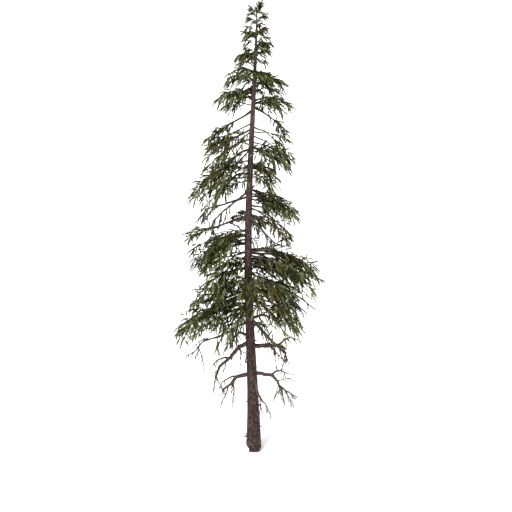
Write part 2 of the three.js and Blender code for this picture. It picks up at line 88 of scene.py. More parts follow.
# Bark of the trunk
BARK_RELIEF = 0.07  # of the radius
MIDDLE_RELIEF = 0.5  # the relief that leaves the trunk at its plain radius
BARK_LAYERS = (  # plates round the trunk, length of a plate in metres, weight
    (21, 0.24, 0.5),
    (41, 0.11, 0.5),
)
SPARE_ROWS = 3  # of plates, past the top
PLATE_JITTER = (0.1, 0.9)  # where a plate's middle may lie in its cell
PLATE_WAVES = ((0.4, 2.1), (0.25, 5.3))  # sideways sway in plates, and radians per metre of height
PLATE_STRETCH = 0.55  # how much less a step along a plate counts than one across it
PLATE_RELIEF = (0.45, 0.55)  # of the lowest plates, and what a plate's tone adds
FURROW_SHARE = 0.5  # of a plate's width
UPPER_BARK_LIGHT = 0.235  # added to the relief's shade at the top
UPPER_BARK_POWER = 1.7  # how late that comes in

# Snapped-off boughs on the bare trunk
STUB_COUNT = 18
STUB_HEIGHTS = (0.5, 5.6)
STUB_SEAT = 0.9  # of the trunk's radius, where a stub starts
STUB_LENGTHS = (0.03, 0.14)  # out of the trunk
STUB_TILTS = (-0.5, 0.3)
STUB_WOBBLE = 0.15
STUB_RADII = (0.012, 0.026)
STUB_PROFILE = (1.3, 1.0, 0.9, 0.75)  # of the radius, from foot to tip
STUB_SIDES = 7

# Broken foot: the edges that are split off, each with the way it faces
CHIPS = (
    {"faces": (-1, 0), "inner": 0.15, "top": 0.17, "outer": 0.42, "outer_top": 0.41},
    {"faces": (1, 0), "inner": 0.15, "top": 0.0, "outer": 0.42, "outer_top": 0.36},
    {"faces": (0, -1), "inner": 0.14, "top": 0.0, "outer": 0.42, "outer_top": 0.42},
)
CHIP_ROUGHNESS = 0.012
CHIP_WAVES = (61, 83)  # radians per metre along a broken face and up it

# Boughs
SAG_POWER = 2.2
STEEP = 0.9  # climb of a limb from which its sides are worked out from RIGHT, not from UP
LIVE_RADIUS = 0.005
LIVE_RADIUS_PER_REACH = 0.0165
THIN_RADIUS_PER_REACH = 0.0135
LIVE_TIP_RADIUS = 0.006
DEAD_TIP_SHARE = 0.45  # of a dead bough's radius at the trunk
FORK_TIP_SHARE = 0.4  # of a fork's radius where it leaves
FORK_TAIL_LENGTH = 0.3  # of the fine twig that a fork ends in
FORK_TAIL_STEP = 0.2  # of a stretch, over which that twig takes its heading
FORK_SIDES = 7
FORK_TWIGS = 3
FORK_TWIG_SHARE = 0.5  # of a dead twig's length and of the fork's radius
STRETCH_STEPS = 8
LIMB_HEADING_STEP = 0.1  # of a stretch
BOUGH_SIDES = 9
BOUGH_STEPS = 31
BOUGH_HEADING_STEP = 0.03  # of the reach
BOUGH_ROUGHNESS = 0.16  # of the radius
CROOK_KNOTS = 7
LIVE_CROOK = 0.012
DEAD_CROOK = 0.006

# Bare twigs on dead boughs. Pairs of steps and sides are for a plain twig and for one with twiglets.
DEAD_TWIG_STEPS = (3, 6)
DEAD_TWIG_SIDES = (4, 5)
DEAD_TWIG_RADIUS = 0.018
DEAD_TWIG_LEAST_RADIUS = 0.012
DEAD_TWIG_TAPER = 0.5  # of the radius, at the tip
DEAD_TWIG_LENGTH = 0.48
DEAD_TWIG_LENGTHS = (0.6, 1.3)  # of that, by chance
DEAD_TWIG_START = 0.35  # of the limb, where its twigs start
DEAD_TWIG_RUN = 0.63  # of the limb, that has twigs
DEAD_TWIG_JITTER = (0.2, 0.8)
DEAD_TWIG_ANGLES = (30, 65)
DEAD_TWIG_TILTS = (-0.9, 0.25)
DEAD_TWIG_SAG = 0.7
DEAD_TWIG_WOBBLE = 0.16
TWIGLET_SHARE = 0.5  # of its twig's length
TWIGLET_FADE = 0.05  # taken off that share at each step
TWIGLET_LENGTHS = (0.6, 1.2)
TWIGLET_RADIUS_SHARE = 0.62
TWIGLET_ANGLES = (30, 60)
TWIGLET_TILTS = (-0.6, 0.2)
TWIGLET_SAG = 0.6

# Thinner boughs beside each live bough: how many, and how far they may depart from it
COMPANIONS = 2
COMPANION_HEIGHT = 0.07  # of its reach, up or down
COMPANION_AZIMUTH = (12.0, 32.0)
COMPANION_REACH = (0.65, 0.95)
COMPANION_SLOPE = 0.07
COMPANION_LEAST_BARE = 0.5  # boughs as bare as this have none
COMPANION_BARE_SHARE = 0.4  # of the bough's own bare share

# Twigs and shoots
HANG_LEVEL = 0.55  # how far foliage hangs, by the bough's own drop and rise
HANG_PER_DROP = -0.5
HANG_PER_RISE = 1.0
SIZE_LEVEL = 0.45  # size of the shoots, by the leafy length of their bough
SIZE_PER_LEAFY = 0.45
SIZE_LIMITS = (0.5, 1.0)
BOUGH_END = 0.75  # of a shoot's length, by which a bough stops short of its reach
# That count adds painted light to a shoot's tone: lighter further out, darker further in.
AXIS_OUTER = 0.6  # how far out the shoots on a bough's own line count
ANGLE_SPREAD = (0.7, 1.25)  # of the angle, by chance
LATERAL_SPACING = 0.2
LATERAL_JITTER = (0.1, 0.9)
LEAST_LATERALS = 3
LATERAL_ANGLE = 42.0
LATERAL_SHARE = 0.46  # of the leafy length
LATERAL_LENGTHS = (0.6, 1.25)  # of that, by chance
LATERAL_INNER = 0.55  # of that, where the leafy part starts
LATERAL_GAIN = 1.8  # added to it over the leafy length, until it is 1
LATERAL_FADE = 0.72  # lost over the leafy length
LATERAL_RISE = 0.08
LATERAL_LIFT = 0.38  # spread of the rise
LATERAL_SAG = 0.3
LATERAL_RADIUS = 0.006
LATERAL_TAPER = 0.7
LATERAL_STEPS = 5
LATERAL_SIDES = 4
SHOOT_SPACING = 0.095
SHOOT_JITTER = (0.2, 0.8)
SHOOT_ANGLE = 46.0
FAN_ROLL = 0.9  # radians, the most that a twig's fan of shoots is rolled to either side
SHOOT_LENGTH = 0.29
SHOOT_LENGTHS = (0.7, 1.15)  # of that, by chance
SHOOT_DROOP = (-0.15, 0.3)
SHOOT_WOBBLE = 0.06
SHOOT_SAG = 0.22
SHOOT_ROLL = 1.2  # radians, the most that a shoot is rolled to either side
SHOOT_RADIUS = 0.003
SHOOT_PLACES = (0.0, 0.5, 0.95)
SHOOT_PROFILE = (1.0, 0.8, 0.4)  # of the radius, at those places
SHOOT_SIDES = 3
LINE_STEP = 0.02  # of a twig, over which a shoot takes its heading
TIP_STEP = 0.04  # the same at the tip
REACH_MARGIN = 0.05  # how far a shoot's tip may stand out of the solids' box

# Leader on the trunk's tip
LEADER_HEADING = (0.45, 0.0, 1.0)
LEADER_LENGTH = 0.22
LEADER_STEPS = 4
LEADER_SIDES = 5
LEADER_TAPER = 0.6
LEADER_TIP_LENGTH = 0.16
LEADER_SHOOTS = 16
LEADER_SPACING = 0.06  # of its length
LEADER_SHOOT_LENGTH = 0.17
LEADER_SHOOT_LENGTHS = (0.8, 1.1)  # of that, by chance
LEADER_AHEAD = (1.0, 1.8)  # how much a shoot heads along the leader
LEADER_SAG = 0.1
LEADER_MID_EVERY = 3  # every third shoot is mid, the others are dark

# Needles
NEEDLE_ROWS = 2
NEEDLE_SPACING = 0.0085  # in a row
LEAST_NEEDLES = 8
NEEDLE_LENGTH = 0.075
NEEDLE_LENGTHS = (0.88, 1.1)  # of that, by chance
NEEDLE_LENGTH_POWER = 0.6  # how a needle's length follows its shoot's
NEEDLE_WIDTH = 0.016
NEEDLE_WIDEST = 0.45  # of the length from its foot
NEEDLE_ANGLE = 25.0
NEEDLE_OPEN = 1.15  # of the angle, at the shoot's foot
NEEDLE_CLOSING = 0.55  # of the angle, lost by the shoot's tip
NEEDLE_ANGLE_WOBBLE = 2.0
NEEDLE_KEEL = 0.4  # share of the needles that stand across the shoot's flat
NEEDLE_FAN = 0.15  # radians
NEEDLE_TWIST = 0.2  # radians
OUTLINE_LEAST = 0.4  # a spray's outline: half a wave on top of a least length
OUTLINE_SWELL = 0.65
OUTLINE_START = 0.12  # of the half wave, at the shoot's foot
OUTLINE_RUN = 0.83  # of the half wave, over the shoot
TINY = 1e-6  # gives a shoot that points straight up its sides
NEEDLES_PER_PIECE = 95000  # at most, with two triangles each

# Tones of the shoots, mostly by chance; a shoot's place adds painted light, lighter outside as a painted
# highlight and darker inside as painted shade
OLIVE_SHARE = 0.09
OLIVE_SPOT_SHARE = 0.45  # near an olive spot
OUTER_WEIGHT = 0.25  # how much a shoot's place counts in its tone, against chance
DARK_LEVEL = 0.34
MID_LEVEL = 0.66

# Columns in the table of shoots
START = slice(0, 3)
HEADING = slice(3, 6)
LENGTH = 6
SAG = 7
ROLL = 8
TONE = 9

# Colours, each as the dark and the light end of its range
# Trunk colour by the relief: near black in the furrows, partly the bark's own colour and partly painted
# shade, up to light brown on the proudest plates.
TRUNK_COLORS = (  # by the relief's shade
    (0.2, (0.007, 0.0042, 0.0036)),
    (0.4, (0.025, 0.0154, 0.013)),
    (0.6, (0.058, 0.0372, 0.0325)),
    (0.9, (0.15, 0.104, 0.092)),
)
GRAIN_WEIGHT = 0.4  # of the trunk's grain, added to the relief's shade
WOOD_COLORS = {
    "bough bark": ((0.022, 0.015, 0.0115), (0.075, 0.052, 0.043)),
    "dead bark": ((0.03, 0.0215, 0.0175), (0.105, 0.078, 0.066)),
    "twig bark": ((0.05, 0.036, 0.024), (0.105, 0.076, 0.05)),
}
WOOD_PLACES = (0.3, 0.7)  # of the noise, where the two ends are
# The needles' own greens; through the shoots' places, the light tone also serves as painted highlight and the
# dark one as painted shade.
NEEDLE_COLORS = {
    "dark": ((0.0105, 0.0145, 0.002), (0.02, 0.0265, 0.0045)),
    "mid": ((0.042, 0.053, 0.0115), (0.072, 0.087, 0.0235)),
    "light": ((0.105, 0.128, 0.043), (0.19, 0.213, 0.1)),
    "olive": ((0.055, 0.049, 0.014), (0.11, 0.093, 0.032)),
}
NEEDLE_PLACES = (0.35, 0.65)
TONES = tuple(NEEDLE_COLORS)

# Live boughs that the solids have: height, azimuth in degrees, reach, rise, drop, bare share
LIVE_BOUGHS = [
    (6.05, 195, 2.45, -0.2, -0.5, 0.3),
    (5.7, 215, 2.15, -0.1, -0.25, 0.3),
    (6.9, 170, 2.05, 0.0, -0.85, 0.75),
    (7.35, 190, 1.55, -0.65, -0.6, 0.35),
    (8.05, 195, 1.65, 0.1, -0.5, 0.15),
    (8.65, 180, 2.0, -0.3, -0.3, 0.5),
    (9.9, 165, 1.65, -0.05, -0.55, 0.25),
    (10.75, 200, 1.95, -0.4, -0.75, 0.3),
    (11.35, 195, 1.5, -0.5, -0.55, 0.25),
    (11.9, 150, 1.7, -0.65, -0.65, 0.5),
    (5.95, 325, 2.05, 0.25, -0.4, 0.45),
    (6.4, 350, 1.75, 0.0, -0.25, 0.35),
    (7.45, 5, 2.4, 0.0, -0.45, 0.25),
    (8.9, 335, 1.4, -0.1, -0.75, 0.5),  # barer than its solid, where the photograph shows sky
    (9.3, 355, 1.55, -0.05, -0.45, 0.2),
    (10.8, 330, 1.3, 0.1, -0.35, 0.2),
    (11.4, 335, 1.25, -0.05, -0.85, 0.5),
    (12.0, 35, 1.25, -0.5, -0.85, 0.6),
    (9.5, 40, 1.7, -0.3, -0.5, 0.25),
    (5.8, 230, 1.6, -0.5, -0.7, 0.3),
    (6.95, 285, 1.65, -0.3, -0.5, 0.3),
    (6.2, 120, 2.2, -0.1, -0.4, 0.3),
    (7.1, 60, 2.05, -0.05, -0.5, 0.3),
    (8.6, 85, 1.7, -0.1, -0.5, 0.25),
    (10.2, 70, 1.4, -0.1, -0.5, 0.2),
    (12.15, 180, 1.15, 0.55, -0.1, 0.2),
    (12.05, 345, 1.2, 0.5, -0.05, 0.2),
    (12.25, 100, 1.0, 0.55, 0.0, 0.2),
    (12.5, 45, 1.1, 0.6, 0.0, 0.2),
    (12.65, 145, 1.0, 0.6, -0.05, 0.2),
    (12.8, 320, 0.6, 0.75, -0.05, 0.2),
    (12.9, 240, 0.7, 0.5, -0.05, 0.2),
    (13.25, 190, 0.6, 1.0, 0.05, 0.2),
    (13.3, 90, 0.6, 0.9, 0.1, 0.2),
    (13.55, 20, 0.5, 1.0, 0.15, 0.2),
    (13.8, 200, 0.45, 1.2, 0.45, 0.2),
    (13.9, 50, 0.4, 1.05, 0.5, 0.2),
]

# Thinner live boughs that fill the crown between them, in the same columns
FILLING_BOUGHS = [
    (14.4, 180, 0.25, 1.6, 1.5, 0.3),
    (12.35, 350, 0.85, 0.7, 0.0, 0.2),
    (12.3, 195, 1.0, 0.55, -0.1, 0.2),
    (12.15, 325, 1.05, 0.45, -0.1, 0.2),
    (12.0, 170, 1.0, 0.4, -0.15, 0.2),
    (11.95, 25, 1.2, -0.45, -0.8, 0.45),
    (11.85, 165, 1.6, -0.6, -0.65, 0.3),
    (11.5, 180, 1.4, -0.4, -0.55, 0.35),
    (11.15, 345, 1.3, -0.35, -0.45, 0.4),
    (11.25, 350, 1.2, 0.15, -0.25, 0.4),
    (11.05, 180, 1.5, -0.35, -0.7, 0.3),
    (10.95, 5, 1.3, -0.2, -0.5, 0.3),
    (10.7, 350, 1.25, -0.1, -0.5, 0.2),
    (10.4, 190, 1.5, -0.1, -0.5, 0.2),
    (10.3, 340, 0.75, -0.1, -0.4, 0.1),
    (10.2, 165, 1.5, 0.0, -0.5, 0.1),
    (10.0, 345, 0.85, -0.1, -0.45, 0.1),
    (9.95, 330, 0.9, -0.1, -0.5, 0.1),
    (8.95, 345, 1.45, -0.1, -0.7, 0.4),
    (8.75, 350, 1.35, -0.15, -0.75, 0.45),
    (8.7, 330, 0.75, -0.05, -0.3, 0.2),
    (8.65, 185, 1.95, -0.3, -0.35, 0.65),
    (8.0, 165, 1.5, -0.1, -0.6, 0.2),
    (7.9, 175, 1.85, -0.1, -0.45, 0.2),
    (7.8, 205, 1.6, 0.1, -0.45, 0.1),
    (7.75, 160, 1.5, 0.1, -0.5, 0.1),
    (7.75, 180, 1.8, 0.0, -0.5, 0.4),
    (7.5, 0, 1.9, -0.35, -0.4, 0.45),
    (7.5, 20, 1.8, 0.0, -0.4, 0.3),
    (7.5, 215, 1.5, 0.0, -0.4, 0.1),
    (7.4, 350, 1.85, -0.3, -0.35, 0.4),
    (7.0, 5, 2.0, 0.1, -0.3, 0.3),
    (7.0, 350, 1.9, 0.1, -0.25, 0.1),
    (7.0, 200, 1.7, -0.2, -0.55, 0.1),
    (6.9, 10, 1.75, -0.05, -0.35, 0.1),
    (6.75, 335, 1.6, -0.05, -0.35, 0.1),
    (6.5, 30, 1.6, -0.1, -0.4, 0.1),
    (6.5, 185, 1.9, -0.1, -0.5, 0.1),
    (6.2, 345, 1.7, 0.1, -0.5, 0.2),
    (6.15, 205, 2.2, -0.1, -0.4, 0.15),
    (6.05, 15, 1.6, 0.0, -0.6, 0.2),
    (6.0, 200, 2.4, -0.15, -0.45, 0.3),
    (5.95, 190, 2.45, -0.15, -0.45, 0.45),
    (5.9, 355, 1.75, 0.2, -0.55, 0.35),
    (5.8, 340, 1.6, 0.4, -0.45, 0.55),
    (5.75, 335, 1.75, 0.15, -0.45, 0.4),
    (5.75, 240, 1.45, -0.5, -0.75, 0.4),
    (5.6, 345, 1.75, 0.15, -0.45, 0.45),
    (5.85, 325, 1.3, 0.15, -0.45, 0.65),
    (5.8, 340, 1.1, 0.15, -0.4, 0.65),
    (7.95, 350, 0.4, -0.2, -0.45, 0.1),
    (6.6, 150, 1.3, -0.2, -0.4, 0.1),
    (7.1, 145, 1.3, -0.2, -0.4, 0.1),
    (8.2, 185, 1.3, 0.1, -0.35, 0.25),
    (8.05, 180, 1.9, -0.05, -0.3, 0.7),
    (7.5, 0, 2.15, 0.1, -0.3, 0.3),
    (6.75, 270, 0.8, -0.2, -0.6, 0.05),
    (6.45, 255, 0.8, -0.2, -0.6, 0.05),
    (6.4, 290, 0.8, -0.2, -0.6, 0.05),
    (7.15, 5, 2.25, 0.2, -0.2, 0.5),
    (7.5, 185, 1.55, -0.15, -0.45, 0.45),
    (12.75, 340, 0.55, 0.5, 0.0, 0.15),
    (12.95, 185, 0.6, 0.6, 0.0, 0.15),
    (12.9, 290, 0.4, 0.5, -0.1, 0.15),
]

# Short boughs round the top, from the lowest to the highest
TOP_BOUGHS = 20
TOP_TURN = 180.0  # azimuth of the lowest
TOP_HEIGHTS = (13.05, 14.45)
TOP_REACHES = (0.5, 0.28)
TOP_DROPS = (0.15, 0.6)
TOP_RISE = 1.0
TOP_BARE = 0.2
GOLDEN_ANGLE = 137.5

# Dead boughs: height, azimuth in degrees, radius at the trunk, number of twigs, and the stretches between
# crooks, each as how far it goes out and up. tip is the share of the radius at its end, where that isn't the
# usual one. A fork leaves after so many stretches, with its own azimuth, radius and stretches.
DEAD_BOUGHS = {
    "left_1": {
        "height": 3.05, "azimuth": 183, "radius": 0.08, "twigs": 3,
        "stretches": ((0.52, -0.09), (0.15, -0.25), (0.33, -0.28)),
        "forks": (
            (1.0, 180, 0.038, ((0.15, 0.0), (0.25, -0.14), (0.1, -0.11))),
            (1.9, 180, 0.035, ((-0.05, -0.27), (0.05, -0.45))),
            (2.4, 180, 0.032, ((0.05, -0.25), (0.19, -0.41))),
        ),
    },
    "left_2": {
        "height": 4.3, "azimuth": 187, "radius": 0.08, "twigs": 4,
        "stretches": ((0.42, -0.25), (0.27, -0.34), (0.34, -0.3), (0.14, -0.37)),
        "forks": (
            (2.0, 180, 0.038, ((0.16, 0.02), (0.25, -0.09), (0.15, -0.22))),
            (1.0, 200, 0.022, ((-0.08, -0.13), (0.02, -0.55))),
            (1.0, 200, 0.021, ((-0.24, -0.23),)),
            (4.0, 180, 0.026, ((0.1, -0.55),)),
            (4.0, 180, 0.022, ((-0.2, -0.42),)),
        ),
    },
    "left_3": {
        "height": 5.05, "azimuth": 205, "radius": 0.04, "twigs": 5,
        "stretches": ((0.45, -0.1), (0.5, -0.22), (0.68, -0.06), (0.4, -0.41)),
        "forks": (
            (3.4, 180, 0.022, ((-0.1, -0.3), (-0.06, -0.35))),
            (2.6, 190, 0.022, ((0.3, -0.02), (0.2, -0.15))),
        ),
    },
    "left_4": {
        "height": 9.5, "azimuth": 190, "radius": 0.036, "twigs": 9,
        "stretches": ((0.37, -0.3), (0.38, -0.29), (0.32, -0.29), (0.08, -0.26)),
    },
    "left_5": {
        "height": 9.3, "azimuth": 180, "radius": 0.036, "twigs": 9,
        "stretches": ((0.75, -0.26), (0.57, -0.14), (0.05, -0.18)),
    },
    "left_6": {
        "height": 5.5, "azimuth": 183, "radius": 0.036, "twigs": 3,
        "stretches": ((0.62, -0.05),),
    },
    "left_7": {
        "height": 5.3, "azimuth": 200, "radius": 0.036, "twigs": 4,
        "stretches": ((0.3, -0.05), (0.15, -0.3), (0.0, -0.7)),
    },
    "right_1": {
        "height": 3.1, "azimuth": 358, "radius": 0.07, "tip": 0.2, "twigs": 4,
        "stretches": ((0.68, -0.09), (0.17, -0.23), (0.1, -0.23), (0.59, -0.41)),
        "forks": (
            (1.0, 0, 0.042, ((0.13, 0.16), (0.17, 0.02), (0.23, -0.12))),
            (2.0, 10, 0.022, ((0.15, 0.02), (0.18, 0.03))),
            (2.6, 350, 0.022, ((0.2, -0.15),)),
            (3.1, 340, 0.022, ((0.07, -0.39),)),
            (3.1, 0, 0.021, ((-0.2, -0.22),)),
            (3.2, 0, 0.022, ((0.25, -0.43),)),
        ),
    },
    "right_2": {
        "height": 4.1, "azimuth": 6, "radius": 0.08, "twigs": 3,
        "stretches": ((0.62, -0.02), (0.31, 0.02), (0.23, -0.18)),
        "forks": (
            (2.0, 15, 0.048, ((0.2, 0.18), (0.21, 0.06), (0.19, -0.1))),
            (1.7, 350, 0.048, ((0.29, -0.25), (0.07, -0.18), (-0.14, -0.36))),
            (1.0, 350, 0.042, ((0.15, -0.16), (0.2, -0.23))),
            (1.6, 350, 0.022, ((0.0, -0.3), (0.04, -0.41))),
        ),
    },
    "right_3": {
        "height": 5.15, "azimuth": 340, "radius": 0.07, "twigs": 5,
        "stretches": ((0.26, -0.2), (0.29, -0.31), (0.29, -0.25), (0.26, -0.2)),
        "forks": (
            (1.8, 340, 0.029, ((0.1, -0.25), (0.08, -0.2))),
            (3.0, 340, 0.026, ((0.0, -0.3),)),
            (3.0, 180, 0.021, ((0.35, -0.05), (0.12, -0.05))),
        ),
    },
    "right_4": {
        "height": 6.4, "azimuth": 350, "radius": 0.04, "twigs": 2,
        "stretches": ((0.85, 0.0), (0.7, -0.3), (0.6, -0.45)),
    },
    "right_5": {
        "height": 6.25, "azimuth": 340, "radius": 0.04, "twigs": 2,
        "stretches": ((1.0, -0.1), (0.55, -0.2), (0.4, -0.3)),
    },
    "right_6": {
        "height": 8.7, "azimuth": 320, "radius": 0.044, "twigs": 6,
        "stretches": ((0.35, -0.25), (0.35, -0.22), (0.35, -0.2)),
        "forks": (
            (1.5, 330, 0.026, ((0.2, -0.25), (0.2, -0.15))),
        ),
    },
    "right_7": {
        "height": 9.0, "azimuth": 345, "radius": 0.036, "twigs": 3,
        "stretches": ((0.4, 0.0), (0.35, -0.35)),
    },
    "right_8": {
        "height": 5.1, "azimuth": 350, "radius": 0.055, "twigs": 3,
        "stretches": ((0.35, 0.2), (0.3, -0.05)),
    },
    "front_1": {
        "height": 2.9, "azimuth": 300, "radius": 0.07, "twigs": 0,
        "stretches": ((0.17, 0.0), (0.19, -0.39), (0.33, -0.16)),
        "forks": (
            (3.0, 320, 0.026, ((0.15, -0.05), (0.12, -0.2))),
            (2.5, 300, 0.026, ((0.05, -0.4),)),
        ),
    },
    "back_1": {
        "height": 3.75, "azimuth": 98, "radius": 0.06, "twigs": 5,
        "stretches": ((0.57, -0.03), (0.57, -0.54)),
    },
    "back_2": {
        "height": 4.45, "azimuth": 130, "radius": 0.055, "twigs": 5,
        "stretches": ((0.55, -0.05), (0.55, -0.55)),
    },
    "back_3": {
        "height": 4.8, "azimuth": 62, "radius": 0.055, "twigs": 5,
        "stretches": ((0.6, -0.1), (0.6, -0.45)),
    },
    "back_4": {
        "height": 5.15, "azimuth": 50, "radius": 0.04, "twigs": 5,
        "stretches": ((0.55, -0.15), (0.55, 0.05)),
    },
}

# Where shoots are olive: middle and radius
OLIVE_SPOTS = (
    ((0.95, -0.5, 8.35), 0.55),
    ((-0.65, 0.0, 11.0), 0.5),
    ((0.1, -0.8, 6.3), 0.7),
    ((-0.2, 0.0, 14.6), 0.3),
)

# Seeds of the random draws
BARK_SEED = 11
LIVE_SEED = 7
FILLING_SEED = 4
LEADER_SEED = 9
NEEDLE_SEED = 10
DEAD_SEED = 100
STUB_SEED = 3

UP = np.array((0.0, 0.0, 1.0))
RIGHT = np.array((1.0, 0.0, 0.0))


def unit(vectors):
    return vectors / np.linalg.norm(vectors, axis=-1, keepdims=True)


def turned(vector, degrees):
    """The vector turned about the vertical."""
    angle = math.radians(degrees)
    cos, sin = math.cos(angle), math.sin(angle)
    return np.array((cos * vector[0] - sin * vector[1], sin * vector[0] + cos * vector[1], vector[2]))


def side_of(number):
    """The two sides in turn."""
    return 1 if number % 2 else -1


class Pile:
    """The parts of one joined piece."""

    def __init__(self):
        self.points = []
        self.quads = []
        self.triangles = []
        self.count = 0

    def add(self, points, quads, triangles=None):
        self.points.append(points)
        self.quads.append(quads + self.count)
        if triangles is not None:
            self.triangles.append(triangles + self.count)
        self.count += len(points)


def joined_triangles(parts):
    return np.concatenate(parts) if parts else np.zeros((0, 3), dtype=np.int64)


def mesh_piece(name, pile, material, replaced, smooth=True):
    """A joined piece of the tree, which stands for the named solids."""
    points = np.concatenate(pile.points)
    quads = np.concatenate(pile.quads)
    triangles = joined_triangles(pile.triangles)
    corners = np.concatenate((quads.ravel(), triangles.ravel()))
    sizes = np.concatenate((np.full(len(quads), 4), np.full(len(triangles), 3)))
    mesh = bpy.data.meshes.new(name)
    mesh.vertices.add(len(points))
    mesh.vertices.foreach_set("co", points.astype(np.float32).ravel())
    mesh.loops.add(len(corners))
    mesh.loops.foreach_set("vertex_index", corners.astype(np.int32))
    mesh.polygons.add(len(sizes))
    mesh.polygons.foreach_set("loop_start", (np.cumsum(sizes) - sizes).astype(np.int32))
    mesh.polygons.foreach_set("use_smooth", np.full(len(sizes), smooth))
    mesh.update(calc_edges=True)
    mesh.validate()
    mesh.materials.append(material)
    piece = bpy.data.objects.new(name, mesh)
    bpy.context.scene.collection.objects.link(piece)
    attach(piece, "root")
    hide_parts(*replaced)
    return piece


def tube(pile, path, radii, sides):
    """A closed limb along a path. radii has a number for each step, or one for each step and side."""
    steps = len(path)
    tangents = unit(np.gradient(path, axis=0))
    reference = UP if abs(unit(path[-1] - path[0])[2]) < STEEP else RIGHT
    sideways = unit(np.cross(tangents, reference))
    upward = np.cross(sideways, tangents)
    angles = np.arange(sides) * (2 * math.pi / sides)
    radial = (np.cos(angles)[None, :, None] * sideways[:, None, :]
              + np.sin(angles)[None, :, None] * upward[:, None, :])
    radii = np.asarray(radii)
    if radii.ndim == 1:
        radii = radii[:, None]
    points = path[:, None, :] + radii[:, :, None] * radial
    ring = np.arange(sides)
    following = (ring + 1) % sides
    rows = np.arange(steps - 1)[:, None] * sides
    quads = np.stack((rows + ring, rows + sides + ring, rows + sides + following, rows + following), axis=-1)
    fan = np.stack((np.zeros(sides - 2, dtype=np.int64), ring[1:-1], ring[2:]), axis=-1)
    last = (steps - 1) * sides
    caps = np.concatenate((fan, last + fan[:, ::-1]))
    pile.add(points.reshape(-1, 3), quads.reshape(-1, 4), caps)


# Trunk
def trunk_axis(height):
    """The middle of the trunk at a height, with its bow, lean and sway."""
    height = np.asarray(height, dtype=float)
    share = np.clip(height / TREE_HEIGHT, 0, 1)
    bow = TRUNK_BOW * np.clip(np.sin(np.pi * share), 0, 1) ** TRUNK_BOW_POWER
    wave = np.sin(2 * np.pi * share)
    return np.stack((TRUNK_LEAN * share - bow + TRUNK_SWAY[0] * wave, TRUNK_SWAY[1] * wave, height), axis=-1)


def trunk_radius(height):
    """The trunk's plain radius, with its taper and root flare."""
    left = np.clip(1 - height / TRUNK_HEIGHT, 0, 1)
    return (TRUNK_TIP_RADIUS + (TRUNK_RADIUS - TRUNK_TIP_RADIUS) * left ** TRUNK_TAPER
            + FLARE * np.exp(-height / FLARE_FADE))


def bark_plates(turns, heights, columns, length, seed):
    """Plates round a jittered lattice: how far a point is from the furrow beside it, and its plate's tone."""
    rows = int(TREE_HEIGHT / length) + SPARE_ROWS
    rng = np.random.default_rng(seed)
    jitter = rng.uniform(*PLATE_JITTER, (2, rows, columns))
    tone = rng.random((rows, columns))
    across = turns * columns
    for sway, rate in PLATE_WAVES:
        across = across + sway * np.sin(rate * heights)
    along = heights / length
    nearest = np.full(turns.shape, np.inf)
    second = np.full(turns.shape, np.inf)
    plate_tone = np.zeros(turns.shape)
    for row_step in (-1, 0, 1):
        for column_step in (-1, 0, 1):
            row = np.floor(along).astype(int) + row_step
            column = np.floor(across).astype(int) + column_step
            here = row % rows, column % columns
            aside = column + jitter[0][here] - across
            distance = np.hypot(aside, PLATE_STRETCH * (row + jitter[1][here] - along))
            closer = distance < nearest
            second = np.where(closer, nearest, np.minimum(second, distance))
            plate_tone = np.where(closer, tone[here], plate_tone)
            nearest = np.where(closer, distance, nearest)
    return second - nearest, plate_tone


def bark_relief(turns, heights):
    """From 0 in a furrow to 1 on the proudest plates."""
    relief = np.zeros_like(turns)
    lowest, tone_range = PLATE_RELIEF
    for number, (columns, length, weight) in enumerate(BARK_LAYERS):
        clear, tone = bark_plates(turns, heights, columns, length, BARK_SEED + number)
        relief += weight * np.clip(clear / FURROW_SHARE, 0, 1) * (lowest + tone_range * tone)
    return relief


def split_off(points, chip):
    """Draws what stands out past a chip's broken face back onto it."""
    height = points[:, 2]
    slope = (chip["outer"] - chip["inner"]) / (chip["outer_top"] - chip["top"])
    limit = chip["inner"] + np.clip(height - chip["top"], 0, None) * slope
    faces = np.array(chip["faces"])
    out = points[:, :2] @ faces
    along = points[:, :2] @ faces[::-1]
    rough = CHIP_ROUGHNESS * np.sin(along * CHIP_WAVES[0] + height * CHIP_WAVES[1])
    excess = np.clip(out - limit - rough, 0, None)
    points[:, :2] -= excess[:, None] * faces


